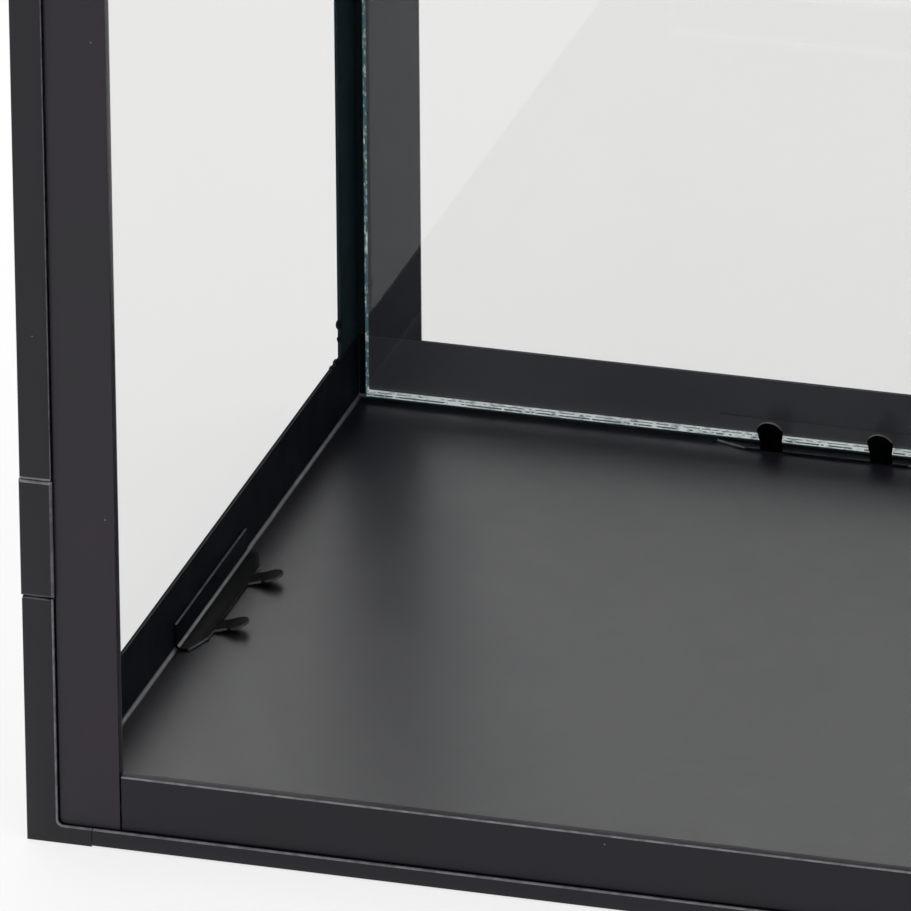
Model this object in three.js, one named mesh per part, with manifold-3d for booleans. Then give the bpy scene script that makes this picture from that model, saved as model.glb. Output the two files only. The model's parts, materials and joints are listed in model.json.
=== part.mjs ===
// A square candle lantern: a folded sheet steel housing glazed at the back and on the right,
// a glazed door hung on the left front corner, and a bail handle over a vented roof.
// Millimetres, +Z up, the door faces -Y. The origin is under the middle of the bounding box.
import * as THREE from 'three';
import { mergeVertices } from 'three/addons/utils/BufferGeometryUtils.js';
import Module from 'manifold-3d';

// Housing
const WIDTH = 250;
const DEPTH = 250;
const HEIGHT = 420;
const SHEET = 0.8;
const GAP = 0.3;
const WALL = 4.4;
const RAIL_DEPTH = 3.3;
const RAIL_HEIGHT = 20;
const RAIL_LEDGE = 12;
const FRONT_POST = 20.4;
const SIDE_POST = 19.2;
const REAR_POST = 20.2;
const FLOOR_TOP = 3.6;

// Front rim round the door
const JAMB_WIDTH = 7.1;
const JAMB_DEPTH = 10.5;
const JAMB_FOOT = 15.1;
const RIM_HEIGHT = 4.2;
const SILL_RISE = 0.25;

// Door
const DOOR_RECESS = 1.2;
const DOOR_THICK = 3;
const DOOR_GAP = 0.6;
const STILE = 13.8;
const DOOR_RAIL = 13;
const DOOR_CORNER = 1.5;

// Hinges: two lugs on the door, each turning on a pin held by the jamb
const HINGE_IN = 2.3;
const HINGE_BACK = 2;
const LUG_HEIGHT = 28.2;
const LUG_LOW = 60;
const LUG_PROUD = 0.35;
const PIN_R = 0.9;
const LUG_BORE_R = 0.95;
const PIN_GRIP = 6;
const NOTCH_DEPTH = 6.2;

// Glass and its clips
const PANE = 2.3;
const PANE_STANDOFF = 1.1;
const PANE_SIDE_GAP = 2.6;
const CLIP_SHEET = 0.6;
const CLIP_GAP = 0.2;
const CLIP_LENGTH = 55;
const CLIP_BACK = 6.4;
const CLIP_SHELF = 6.1;
const CLIP_BEVEL = 7.4;
const CLIP_END = 3.5;
const TAB_SPACING = 27;
const TAB_LENGTH = 8;
const TAB_HEAD_R = 3.1;
const TAB_STEM = 5.4;
const TAB_LEAN = 20;
const TAB_OPEN_TILT = 16;
const SIDE_CLIP_OFFSET = -1.3;
const REAR_CLIP_OFFSET = -3;

// Roof and handle
const VENT_R = 32;
const COLLAR_HEIGHT = 10;
const COLLAR_WALL = 1.6;
const CAP_R = 50;
const CAP_BASE = HEIGHT + 18;
const CAP_RISE = 12;
const CAP_SHEET = 1.2;
const LEG_COUNT = 4;
const LEG_RADIUS = 41;
const BAIL_ROD_R = 2.5;
const BAIL_HALF_WIDTH = 95;
const BAIL_REACH = 88;
const BAIL_BEND = 22;
const BAIL_TURN = 3.4;
const PIVOT_HOLE_R = 2.58;
const PIVOT_RISE = 4.2;
const NUT_R = 3.8;
const HANDLE_LUG = 2.5;
const LUG_INSIDE = BAIL_HALF_WIDTH + 5;

// Knob and magnetic catch
const KNOB_Z = 210;
const KNOB_X = 111.6;
const KNOB_REACH = 11.2;
const KNOB_R = 6;
const CATCH_LOW = 240;
const CATCH_HIGH = 262;

const LEFT = -WIDTH / 2;
const RIGHT = WIDTH / 2;
const FRONT = -DEPTH / 2;
const REAR = DEPTH / 2;
const INNER_X = RIGHT - WALL;
const INNER_REAR = REAR - WALL;
const BEHIND_JAMB = FRONT + JAMB_DEPTH + GAP;
const ROOF_TOP = HEIGHT - FLOOR_TOP + SHEET;
const PIVOT_Z = ROOF_TOP + PIVOT_RISE;
const DOOR_FACE = FRONT + DOOR_RECESS;
const DOOR_BACK = DOOR_FACE + DOOR_THICK;
const DOOR_LOW = RIM_HEIGHT + 0.4;
const DOOR_LEFT = LEFT + JAMB_WIDTH + DOOR_GAP;

// The lugs and the knob stand out past the housing, so the part is moved to stay centred.
const SHIFT_X = LUG_PROUD / 2;
const SHIFT_Y = (KNOB_REACH - DOOR_RECESS) / 2;

const FINISHES = {
  steel: { color: 0x2c2c30, roughness: 0.45, metalness: 0.3 },
  clip: { color: 0x202024, roughness: 0.5, metalness: 0.3 },
  bright: { color: 0xb8babd, roughness: 0.3, metalness: 1 },
  magnet: { color: 0x3a3a3c, roughness: 0.7, metalness: 0 },
  glass: { color: 0xdfeeea, roughness: 0.05, metalness: 0, transparent: true, opacity: 0.3 },
};

const wasm = await Module();
wasm.setup();
const group = new THREE.Group();

// A three.js geometry as a solid, welded by position.
function solid(geometry) {
  const bare = new THREE.BufferGeometry();
  bare.setAttribute('position', geometry.getAttribute('position'));
  bare.setIndex(geometry.index);
  const merged = mergeVertices(bare, 1e-4);
  const kept = [];
  const index = merged.index.array;
  for (let i = 0; i < index.length; i += 3) {
    const [a, b, c] = [index[i], index[i + 1], index[i + 2]];
    if (a !== b && b !== c && a !== c) kept.push(a, b, c);
  }
  return new wasm.Manifold(new wasm.Mesh({
    numProp: 3,
    vertProperties: merged.getAttribute('position').array,
    triVerts: new Uint32Array(kept),
  }));
}

// Adds one named piece with a material of its own.
function piece(name, made, finish) {
  const mesh = made.translate([SHIFT_X, SHIFT_Y, 0]).getMesh();
  const geometry = new THREE.BufferGeometry();
  const positions = new Float32Array(mesh.numVert * 3);
  for (let i = 0; i < mesh.numVert; i += 1) {
    for (let k = 0; k < 3; k += 1) {
      positions[3 * i + k] = mesh.vertProperties[mesh.numProp * i + k];
    }
  }
  geometry.setAttribute('position', new THREE.BufferAttribute(positions, 3));
  geometry.setIndex(Array.from(mesh.triVerts));
  const flat = geometry.toNonIndexed();
  flat.computeVertexNormals();
  const part = new THREE.Mesh(flat, new THREE.MeshStandardMaterial(FINISHES[finish]));
  part.name = name;
  group.add(part);
}

function block(x0, x1, y0, y1, z0, z1) {
  const box = new THREE.BoxGeometry(x1 - x0, y1 - y0, z1 - z0);
  return solid(box.translate((x0 + x1) / 2, (y0 + y1) / 2, (z0 + z1) / 2));
}

// A round bar along X, Y or Z from one coordinate to the other.
function rod(axis, radius, from, to, a, b, sides = 32) {
  const bar = new THREE.CylinderGeometry(radius, radius, to - from, sides);
  const mid = (from + to) / 2;
  if (axis === 'x') bar.rotateZ(Math.PI / 2).translate(mid, a, b);
  if (axis === 'y') bar.translate(a, mid, b);
  if (axis === 'z') bar.rotateX(Math.PI / 2).translate(a, b, mid);
  return solid(bar);
}

// An outline in the X-Z plane given depth along Y.
function frontPlate(shape, y0, y1, segments = 8) {
  const plate = new THREE.ExtrudeGeometry(shape, {
    depth: y1 - y0,
    bevelEnabled: false,
    curveSegments: segments,
  });
  return solid(plate.rotateX(Math.PI / 2).translate(0, y1, 0));
}

// A square tube of folded sheet, open at both ends along the named axis.
function tube(axis, x0, x1, y0, y1, z0, z1) {
  const inset = (along) => (axis === along ? -1 : SHEET);
  const [ix, iy, iz] = ['x', 'y', 'z'].map(inset);
  const outer = block(x0, x1, y0, y1, z0, z1);
  return outer.subtract(block(x0 + ix, x1 - ix, y0 + iy, y1 - iy, z0 + iz, z1 - iz));
}

// The same piece at the top of the housing as at the bottom, and the other way up.
function upsideDown(made) {
  return made.mirror([0, 0, 1]).translate([0, 0, HEIGHT]);
}

function otherSide(made) {
  return made.mirror([1, 0, 0]);
}

// A sheet with its left, right and rear edges turned up to the height of the rails.
function pan() {
  const low = FLOOR_TOP - SHEET;
  const outer = block(-INNER_X - SHEET, INNER_X + SHEET, BEHIND_JAMB, INNER_REAR + SHEET,
    low, RAIL_HEIGHT);
  return outer.subtract(block(-INNER_X, INNER_X, BEHIND_JAMB - 1, INNER_REAR, FLOOR_TOP,
    RAIL_HEIGHT + 1));
}

// A closed-end side rail standing outside the pan's turned-up edge.
function sideRail() {
  const outer = block(LEFT, LEFT + RAIL_DEPTH, BEHIND_JAMB, REAR, 0, RAIL_LEDGE);
  return outer.subtract(block(LEFT + SHEET, LEFT + RAIL_DEPTH - SHEET, BEHIND_JAMB - 1,
    REAR - SHEET, SHEET, RAIL_LEDGE - SHEET));
}

function rearRail() {
  const end = RIGHT - RAIL_DEPTH - GAP;
  return tube('x', -end, end, REAR - RAIL_DEPTH, REAR, 0, RAIL_LEDGE);
}

function sidePost(y0, y1) {
  const low = RAIL_HEIGHT + GAP;
  return block(-INNER_X - SHEET, -INNER_X, y0, y1, low, HEIGHT - low);
}

function rearPost() {
  const low = RAIL_HEIGHT + GAP;
  return block(-INNER_X + GAP, LEFT + REAR_POST, INNER_REAR, INNER_REAR + SHEET, low,
    HEIGHT - low);
}

// The upright beside the door: a channel open to the back, with a foot under the door's corner
// and another over it.
function plainJamb() {
  const foot = block(LEFT + JAMB_WIDTH - 0.1, LEFT + JAMB_FOOT, FRONT, FRONT + JAMB_DEPTH,
    0, RIM_HEIGHT);
  const upright = block(LEFT, LEFT + JAMB_WIDTH, FRONT, FRONT + JAMB_DEPTH, 0, HEIGHT);
  return upright.add(foot).add(upsideDown(foot));
}

function channelCut(z0, z1) {
  return block(LEFT + SHEET, LEFT + JAMB_WIDTH - SHEET, FRONT + SHEET,
    FRONT + JAMB_DEPTH + 1, z0, z1);
}

// The hinge jamb is solid for a short way above and below each lug, to hold the pin.
function hingeJamb() {
  const lugTop = LUG_LOW + LUG_HEIGHT;
  const solidLow = LUG_LOW - PIN_GRIP - 4;
  const solidHigh = lugTop + PIN_GRIP + 4;
  const notch = block(LEFT - 1, LEFT + JAMB_WIDTH + 1, FRONT - 1, FRONT + NOTCH_DEPTH,
    LUG_LOW - GAP, lugTop + GAP);
  const pinHole = rod('z', PIN_R + 0.1, LUG_LOW - PIN_GRIP - GAP, lugTop + PIN_GRIP + GAP,
    LEFT + HINGE_IN, FRONT + HINGE_BACK, 24);
  const cuts = channelCut(-1, solidLow).add(notch).add(pinHole);
  return plainJamb()
    .subtract(cuts)
    .subtract(upsideDown(cuts))
    .subtract(channelCut(solidHigh, HEIGHT - solidHigh));
}

function catchJamb() {
  return otherSide(plainJamb().subtract(channelCut(-1, HEIGHT + 1)));
}

function rimStrip() {
  const end = RIGHT - JAMB_FOOT - 0.15;
  return tube('x', -end, end, FRONT, FRONT + JAMB_DEPTH, SILL_RISE, RIM_HEIGHT);
}

function hingePin() {
  return rod('z', PIN_R, LUG_LOW - PIN_GRIP, LUG_LOW + LUG_HEIGHT + PIN_GRIP,
    LEFT + HINGE_IN, FRONT + HINGE_BACK, 24);
}

// A door lug: a strip folded round the pin, its edge against the door's stile.
function hingeLug() {
  const strip = block(LEFT - LUG_PROUD, DOOR_LEFT - GAP, FRONT, FRONT + 2 * HINGE_BACK,
    LUG_LOW, LUG_LOW + LUG_HEIGHT);
  return strip.subtract(rod('z', LUG_BORE_R, LUG_LOW - 1, LUG_LOW + LUG_HEIGHT + 1,
    LEFT + HINGE_IN, FRONT + HINGE_BACK, 32));
}

// A full-height door stile with its two outer corners rounded, hollow and open at its ends.
function doorStile() {
  const x0 = DOOR_LEFT;
  const x1 = x0 + STILE;
  const z0 = DOOR_LOW;
  const z1 = HEIGHT - DOOR_LOW;
  const r = DOOR_CORNER;
  const outline = new THREE.Shape();
  outline.moveTo(x1, z0);
  outline.lineTo(x1, z1);
  outline.lineTo(x0 + r, z1);
  outline.absarc(x0 + r, z1 - r, r, Math.PI / 2, Math.PI, false);
  outline.lineTo(x0, z0 + r);
  outline.absarc(x0 + r, z0 + r, r, Math.PI, 1.5 * Math.PI, false);
  outline.lineTo(x1, z0);
  return frontPlate(outline, DOOR_FACE, DOOR_BACK).subtract(block(x0 + 2 * SHEET, x1 - SHEET,
    DOOR_FACE + SHEET, DOOR_BACK - SHEET, z0 - 1, z1 + 1));
}

// A pane clip: a back flange on the wall, a shelf under the glass with slanted ends, and two
// round-headed tabs, folded up over the glass or still open. X runs along the wall, Y inwards.
function clip(open) {
  const half = CLIP_LENGTH / 2;
  const back = block(-half, half, CLIP_GAP, CLIP_GAP + CLIP_SHEET, CLIP_GAP,
    CLIP_GAP + CLIP_BACK);
  const shelfShape = new THREE.Shape([
    new THREE.Vector2(-half, CLIP_GAP),
    new THREE.Vector2(half, CLIP_GAP),
    new THREE.Vector2(half, CLIP_END),
    new THREE.Vector2(half - CLIP_BEVEL, CLIP_SHELF),
    new THREE.Vector2(CLIP_BEVEL - half, CLIP_SHELF),
    new THREE.Vector2(-half, CLIP_END),
  ]);
  const shelf = solid(new THREE.ExtrudeGeometry(shelfShape, {
    depth: CLIP_SHEET,
    bevelEnabled: false,
  })).translate([0, 0, CLIP_GAP]);
  let made = back.add(shelf);
  for (const side of [-1, 1]) {
    made = made.add(tab(open).translate([side * TAB_SPACING / 2, 0, 0]));
  }
  return made;
}

function tab(open) {
  const head = TAB_LENGTH - TAB_HEAD_R;
  const stem = TAB_STEM / 2;
  const spread = Math.asin(stem / TAB_HEAD_R);
  const outline = new THREE.Shape();
  outline.moveTo(-stem, -0.5);
  outline.lineTo(stem, -0.5);
  outline.absarc(0, head, TAB_HEAD_R, spread - Math.PI / 2, 1.5 * Math.PI - spread, false);
  const leaf = solid(new THREE.ExtrudeGeometry(outline, {
    depth: CLIP_SHEET,
    bevelEnabled: false,
    curveSegments: 20,
  }));
  if (open) {
    return leaf.rotate([TAB_OPEN_TILT, 0, 0]).translate([0, CLIP_SHELF, CLIP_GAP]);
  }
  return leaf.rotate([90 - TAB_LEAN, 0, 0]).translate([0, CLIP_SHELF, CLIP_GAP + 0.3]);
}

// Moves a clip made along X to the foot of a wall.
function onLeftWall(made) {
  return made.rotate([0, 0, -90]).translate([-INNER_X, SIDE_CLIP_OFFSET, FLOOR_TOP]);
}

function onRightWall(made) {
  return made.rotate([0, 0, 90]).translate([INNER_X, 0, FLOOR_TOP]);
}

function onRearWall(made) {
  return made.rotate([0, 0, 180]).translate([REAR_CLIP_OFFSET, INNER_REAR, FLOOR_TOP]);
}

function onDoor(made) {
  return made.translate([0, DOOR_BACK, DOOR_LOW + CLIP_GAP]);
}

function paneLow(shelfLevel) {
  return shelfLevel + CLIP_GAP + CLIP_SHEET + GAP;
}

function rearPane() {
  const edge = INNER_X - PANE_SIDE_GAP;
  const low = paneLow(FLOOR_TOP);
  const back = INNER_REAR - PANE_STANDOFF;
  return block(-edge, edge, back - PANE, back, low, HEIGHT - low);
}

function rightPane() {
  const outer = INNER_X - PANE_STANDOFF;
  const low = paneLow(FLOOR_TOP);
  const end = INNER_REAR - PANE_STANDOFF - PANE - 1;
  return block(outer - PANE, outer, BEHIND_JAMB + 1, end, low, HEIGHT - low);
}

function doorPane() {
  const low = paneLow(DOOR_LOW + CLIP_GAP);
  const face = DOOR_BACK + PANE_STANDOFF;
  const half = KNOB_X - 5;
  return block(-half, half, face, face + PANE, low, HEIGHT - low);
}

// Rings and domes turned about the vertical axis from a half outline of radius and height,
// listed with the metal on the left hand.
function turned(points, segments = 48) {
  const profile = points.map(([r, z]) => new THREE.Vector2(r, z));
  profile.push(profile[0].clone());
  return solid(new THREE.LatheGeometry(profile, segments).rotateX(Math.PI / 2));
}

function roofPan() {
  const hole = rod('z', VENT_R, HEIGHT - 10, HEIGHT + 10, 0, 0, 48);
  return upsideDown(pan()).subtract(hole);
}

function ventCollar() {
  const low = ROOF_TOP + GAP;
  return turned([
    [VENT_R, low],
    [VENT_R + 4, low],
    [VENT_R + 4, low + COLLAR_WALL],
    [VENT_R + COLLAR_WALL, low + COLLAR_WALL],
    [VENT_R + COLLAR_WALL, low + COLLAR_HEIGHT],
    [VENT_R, low + COLLAR_HEIGHT],
  ]);
}

function ventCap() {
  const top = CAP_BASE + CAP_RISE;
  return turned([
    [0, top - CAP_SHEET],
    [12, top - CAP_SHEET - 0.6],
    [CAP_R - 2, CAP_BASE + 3.5],
    [CAP_R - CAP_SHEET, CAP_BASE + 3],
    [CAP_R - CAP_SHEET, CAP_BASE],
    [CAP_R, CAP_BASE],
    [CAP_R, CAP_BASE + 4],
    [12, top - 0.5],
    [0, top],
  ]);
}

// A strap leg from the roof up to the underside of the cap.
function ventLeg(turn) {
  const low = ROOF_TOP + GAP;
  const strap = block(LEG_RADIUS, LEG_RADIUS + 2, -4, 4, low, CAP_BASE + 4.4);
  const foot = block(LEG_RADIUS - 1, LEG_RADIUS + 9, -4, 4, low, low + 1.6);
  return strap.add(foot).rotate([0, 0, turn]);
}

function handleLug() {
  const low = ROOF_TOP + GAP;
  const x0 = LUG_INSIDE;
  const foot = block(x0 - 9, x0 + HANDLE_LUG, -8, 8, low, low + 1.1);
  const round = rod('x', 6, x0, x0 + HANDLE_LUG, 0, PIVOT_Z);
  const ear = block(x0, x0 + HANDLE_LUG, -6, 6, low, PIVOT_Z)
    .add(round.subtract(block(x0 - 1, x0 + 4, -7, 7, low - 9, low)));
  return ear
    .subtract(rod('x', PIVOT_HOLE_R, x0 - 1, x0 + HANDLE_LUG + 1, 0, PIVOT_Z))
    .add(foot);
}

// A round rod bent along a curve from one straight run to the next.
function bend(start, corner, end) {
  const round = new THREE.Shape().absarc(0, 0, BAIL_ROD_R, 0, 2 * Math.PI, false);
  return solid(new THREE.ExtrudeGeometry(round, {
    steps: 10,
    curveSegments: 24,
    bevelEnabled: false,
    extrudePath: new THREE.QuadraticBezierCurve3(start, corner, end),
  }));
}

// Lies on the roof round the vent at rest, its ends turned out through the lugs.
function bailHandle() {
  const side = BAIL_HALF_WIDTH;
  const lap = 0.05;
  const at = (x, y) => new THREE.Vector3(x, y, PIVOT_Z);
  const bar = rod('x', BAIL_ROD_R, -1, side - BAIL_BEND + lap, BAIL_REACH, PIVOT_Z, 24);
  const arm = rod('y', BAIL_ROD_R, BAIL_TURN - lap, BAIL_REACH - BAIL_BEND + lap, side,
    PIVOT_Z, 24);
  const stub = rod('x', BAIL_ROD_R, side + BAIL_TURN - lap, LUG_INSIDE + HANDLE_LUG + 4.5, 0,
    PIVOT_Z, 24);
  const elbow = bend(at(side - BAIL_BEND, BAIL_REACH), at(side, BAIL_REACH),
    at(side, BAIL_REACH - BAIL_BEND));
  const ankle = bend(at(side, BAIL_TURN), at(side, 0), at(side + BAIL_TURN, 0));
  const half = bar.add(elbow).add(arm).add(ankle).add(stub);
  return half.add(otherSide(half));
}

function endNut() {
  const x0 = LUG_INSIDE + HANDLE_LUG + GAP;
  const nut = rod('x', NUT_R, x0, x0 + 4, 0, PIVOT_Z, 12);
  return nut.subtract(rod('x', PIVOT_HOLE_R, x0 - 1, x0 + 5, 0, PIVOT_Z));
}

function doorKnob() {
  const knob = turned([
    [0, 0],
    [3.6, 0],
    [3, 1],
    [2.6, 3.5],
    [KNOB_R - 0.6, 5.2],
    [KNOB_R, 6.6],
    [KNOB_R, KNOB_REACH - GAP - 1.6],
    [KNOB_R - 1.2, KNOB_REACH - GAP - 0.2],
    [0, KNOB_REACH - GAP],
  ], 36);
  return knob.rotate([90, 0, 0]).translate([KNOB_X, DOOR_FACE - GAP, KNOB_Z]);
}

function knobScrew() {
  const head = rod('y', 3, DOOR_BACK + GAP, DOOR_BACK + 2, KNOB_X, KNOB_Z, 24);
  const shank = rod('y', 1.2, DOOR_FACE + 0.1, DOOR_BACK + 0.5, KNOB_X, KNOB_Z, 16);
  return head.add(shank);
}

function rightStile() {
  const hole = rod('y', 1.5, DOOR_FACE - 1, DOOR_BACK + 1, KNOB_X, KNOB_Z, 20);
  return otherSide(doorStile()).subtract(hole);
}

function strikePlate() {
  return block(KNOB_X - 3, KNOB_X + 5, DOOR_BACK + GAP, DOOR_BACK + GAP + 0.8, CATCH_LOW - 2,
    CATCH_HIGH + 2);
}

function magnetCatch() {
  const y0 = DOOR_BACK + 2 * GAP + 0.8;
  return block(KNOB_X - 2.5, RIGHT - JAMB_WIDTH - GAP, y0, FRONT + JAMB_DEPTH, CATCH_LOW, CATCH_HIGH);
}

function doorRail() {
  const end = -(DOOR_LEFT + STILE) - GAP;
  return tube('x', -end, end, DOOR_FACE, DOOR_BACK, DOOR_LOW, DOOR_LOW + DOOR_RAIL);
}

piece('base_pan', pan(), 'steel');
piece('left_bottom_rail', sideRail(), 'steel');
piece('right_bottom_rail', otherSide(sideRail()), 'steel');
piece('rear_bottom_rail', rearRail(), 'steel');
piece('left_top_rail', upsideDown(sideRail()), 'steel');
piece('right_top_rail', otherSide(upsideDown(sideRail())), 'steel');
piece('rear_top_rail', upsideDown(rearRail()), 'steel');

piece('left_front_post', sidePost(BEHIND_JAMB, FRONT + FRONT_POST), 'steel');
piece('left_rear_post', sidePost(REAR - SIDE_POST, INNER_REAR + SHEET), 'steel');
piece('right_front_post', otherSide(sidePost(BEHIND_JAMB, FRONT + FRONT_POST)), 'steel');
piece('right_rear_post', otherSide(sidePost(REAR - SIDE_POST, INNER_REAR + SHEET)), 'steel');
piece('rear_left_post', rearPost(), 'steel');
piece('rear_right_post', otherSide(rearPost()), 'steel');

piece('front_hinge_jamb', hingeJamb(), 'steel');
piece('front_catch_jamb', catchJamb(), 'steel');
piece('front_sill', rimStrip(), 'steel');
piece('front_head', upsideDown(rimStrip()), 'steel');
piece('lower_hinge_pin', hingePin(), 'bright');
piece('upper_hinge_pin', upsideDown(hingePin()), 'bright');
piece('magnet_catch', magnetCatch(), 'magnet');

piece('left_bottom_clip', onLeftWall(clip(true)), 'clip');
piece('right_bottom_clip', onRightWall(clip(false)), 'clip');
piece('rear_bottom_clip', onRearWall(clip(false)), 'clip');
piece('left_top_clip', upsideDown(onLeftWall(clip(true))), 'clip');
piece('right_top_clip', upsideDown(onRightWall(clip(false))), 'clip');
piece('rear_top_clip', upsideDown(onRearWall(clip(false))), 'clip');
piece('rear_pane', rearPane(), 'glass');
piece('right_pane', rightPane(), 'glass');

piece('roof_pan', roofPan(), 'steel');
piece('vent_collar', ventCollar(), 'steel');
for (let i = 0; i < LEG_COUNT; i += 1) {
  piece(`vent_leg_${i + 1}`, ventLeg(45 + (i * 360) / LEG_COUNT), 'steel');
}
piece('vent_cap', ventCap(), 'steel');
piece('right_handle_lug', handleLug(), 'steel');
piece('left_handle_lug', otherSide(handleLug()), 'steel');

piece('door_left_stile', doorStile(), 'steel');
piece('door_right_stile', rightStile(), 'steel');
piece('door_bottom_rail', doorRail(), 'steel');
piece('door_top_rail', upsideDown(doorRail()), 'steel');
piece('lower_hinge_lug', hingeLug(), 'steel');
piece('upper_hinge_lug', upsideDown(hingeLug()), 'steel');
piece('door_pane', doorPane(), 'glass');
piece('door_bottom_clip', onDoor(clip(false)), 'clip');
piece('door_top_clip', upsideDown(onDoor(clip(false))), 'clip');
piece('door_knob', doorKnob(), 'steel');
piece('knob_screw', knobScrew(), 'bright');
piece('strike_plate', strikePlate(), 'bright');

piece('bail_handle', bailHandle(), 'steel');
piece('right_end_nut', endNut(), 'bright');
piece('left_end_nut', otherSide(endNut()), 'bright');

export default group;
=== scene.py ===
# %% [markdown]
# # A square candle lantern
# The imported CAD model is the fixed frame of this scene: every piece stays where the frame puts it.
# The frame's solids have sharp edges, while folded and powder-coated sheet has soft ones that
# catch the light, so most pieces here are worked from a copy of their solid and stand for it.

# %% Load the frame
import json
import math

import bpy
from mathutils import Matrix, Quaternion, Vector


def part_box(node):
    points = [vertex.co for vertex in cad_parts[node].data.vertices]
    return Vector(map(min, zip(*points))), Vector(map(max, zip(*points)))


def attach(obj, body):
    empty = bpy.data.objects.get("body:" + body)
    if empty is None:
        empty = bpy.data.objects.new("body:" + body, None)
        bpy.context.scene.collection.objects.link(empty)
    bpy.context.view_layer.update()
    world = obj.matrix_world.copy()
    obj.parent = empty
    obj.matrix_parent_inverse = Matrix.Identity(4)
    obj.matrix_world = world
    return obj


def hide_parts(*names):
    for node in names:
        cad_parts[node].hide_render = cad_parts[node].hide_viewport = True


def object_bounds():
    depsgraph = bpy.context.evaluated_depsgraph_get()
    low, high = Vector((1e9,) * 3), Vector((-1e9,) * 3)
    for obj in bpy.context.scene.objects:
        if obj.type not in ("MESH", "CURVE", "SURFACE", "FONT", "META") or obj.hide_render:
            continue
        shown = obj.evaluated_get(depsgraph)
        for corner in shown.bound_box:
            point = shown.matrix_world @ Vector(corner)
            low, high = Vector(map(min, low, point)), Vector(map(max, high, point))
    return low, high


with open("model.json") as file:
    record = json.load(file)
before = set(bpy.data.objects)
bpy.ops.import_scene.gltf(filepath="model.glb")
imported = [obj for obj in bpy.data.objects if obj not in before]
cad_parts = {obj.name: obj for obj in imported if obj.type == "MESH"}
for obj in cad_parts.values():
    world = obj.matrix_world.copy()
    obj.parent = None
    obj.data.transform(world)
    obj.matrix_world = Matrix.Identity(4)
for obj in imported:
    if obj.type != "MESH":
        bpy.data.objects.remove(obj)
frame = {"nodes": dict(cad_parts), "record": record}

MM = 0.001
cad_low, cad_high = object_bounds()
nodes = frame["nodes"]
print("frame:", len(nodes), "nodes,", [round(v / MM, 1) for v in cad_high - cad_low], "mm")

# %% [markdown]
# The camera stands to the right of the door and above it, and looks down at the lower corner on
# the hinge side with a very long lens, as for a detail shot. Its place is measured from that
# corner of the housing, so it follows the frame.

# %% Camera
CAMERA_AZIMUTH = 16.355
CAMERA_ELEVATION = 24.262
CAMERA_ROLL = -0.409
CAMERA_DISTANCE = 3.0189
CAMERA_LENS = 500.07
AIM_FROM_CORNER = (34.2 * MM, 225.7 * MM)

jamb_low, jamb_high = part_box("front_hinge_jamb")
corner = Vector((jamb_low.x, jamb_low.y, 0))
aim = corner + Vector((*AIM_FROM_CORNER, 0))
turn, tilt = math.radians(CAMERA_AZIMUTH), math.radians(CAMERA_ELEVATION)
back = Vector((math.sin(turn) * math.cos(tilt), -math.cos(turn) * math.cos(tilt), math.sin(tilt)))
camera_data = bpy.data.cameras.new("detail_camera")
camera_data.lens = CAMERA_LENS
camera_data.clip_end = 100
camera = bpy.data.objects.new("detail_camera", camera_data)
bpy.context.scene.collection.objects.link(camera)
camera.location = aim + back * CAMERA_DISTANCE
camera.rotation_mode = "QUATERNION"
facing = (-back).to_track_quat("-Z", "Y")
camera.rotation_quaternion = facing @ Quaternion((0, 0, 1), math.radians(CAMERA_ROLL))
bpy.context.scene.camera = camera
print("camera at", [round(v, 3) for v in camera.location])

# %% [markdown]
# A studio for dark glossy things is mostly white surroundings, because what the eye reads as satin
# black paint is their reflection. So the world is an even white and the floor is a sheet of white
# acrylic lit from below, which keeps the shadow round the foot faint. One large soft light, high up
# behind the hinge side, gives the light a direction.

# %% Studio
WORLD_WHITE = 1.0
FLOOR_SIZE = 60
FLOOR_DROP = 0.2 * MM
SOFT_BOX_SIDE = 2.4
SOFT_BOX_ENERGY = 14
SOFT_BOX_PLACE = Vector((-1.0, 1.3, 3.0))
SOFT_BOX_AIM = Vector((0, 0, 0.2))
world = bpy.data.worlds.new("studio_world")
world.use_nodes = True
world.node_tree.nodes["Background"].inputs["Color"].default_value = (1.0, 1.0, 1.0, 1)
world.node_tree.nodes["Background"].inputs["Strength"].default_value = WORLD_WHITE
bpy.context.scene.world = world
bpy.context.scene.view_settings.view_transform = "Standard"


def deselect():
    """Leaves edit mode and selects nothing, so that an operator acts on one piece only."""
    if bpy.context.object and bpy.context.object.mode != "OBJECT":
        bpy.ops.object.mode_set(mode="OBJECT")
    bpy.ops.object.select_all(action="DESELECT")


def work_on(piece):
    deselect()
    piece.select_set(True)
    bpy.context.view_layer.objects.active = piece


deselect()
bpy.ops.mesh.primitive_plane_add(size=FLOOR_SIZE, location=(0, 0, -FLOOR_DROP))
ground = bpy.context.object
ground.name = "studio_floor"

light_data = bpy.data.lights.new("soft_box", "AREA")
light_data.shape = "RECTANGLE"
light_data.size = SOFT_BOX_SIDE
light_data.size_y = SOFT_BOX_SIDE
light_data.energy = SOFT_BOX_ENERGY
soft_box = bpy.data.objects.new("soft_box", light_data)
bpy.context.scene.collection.objects.link(soft_box)
soft_box.location = SOFT_BOX_PLACE
soft_box.rotation_mode = "QUATERNION"
soft_box.rotation_quaternion = (SOFT_BOX_AIM - SOFT_BOX_PLACE).to_track_quat("-Z", "Y")
soft_box.visible_camera = False
print("studio: world", WORLD_WHITE, "and one soft box")

# %% [markdown]
# Materials are built from nodes. A few small helpers add the nodes that every finish needs, so
# that a recipe reads as one line for each step.

# %% Node helpers


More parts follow.
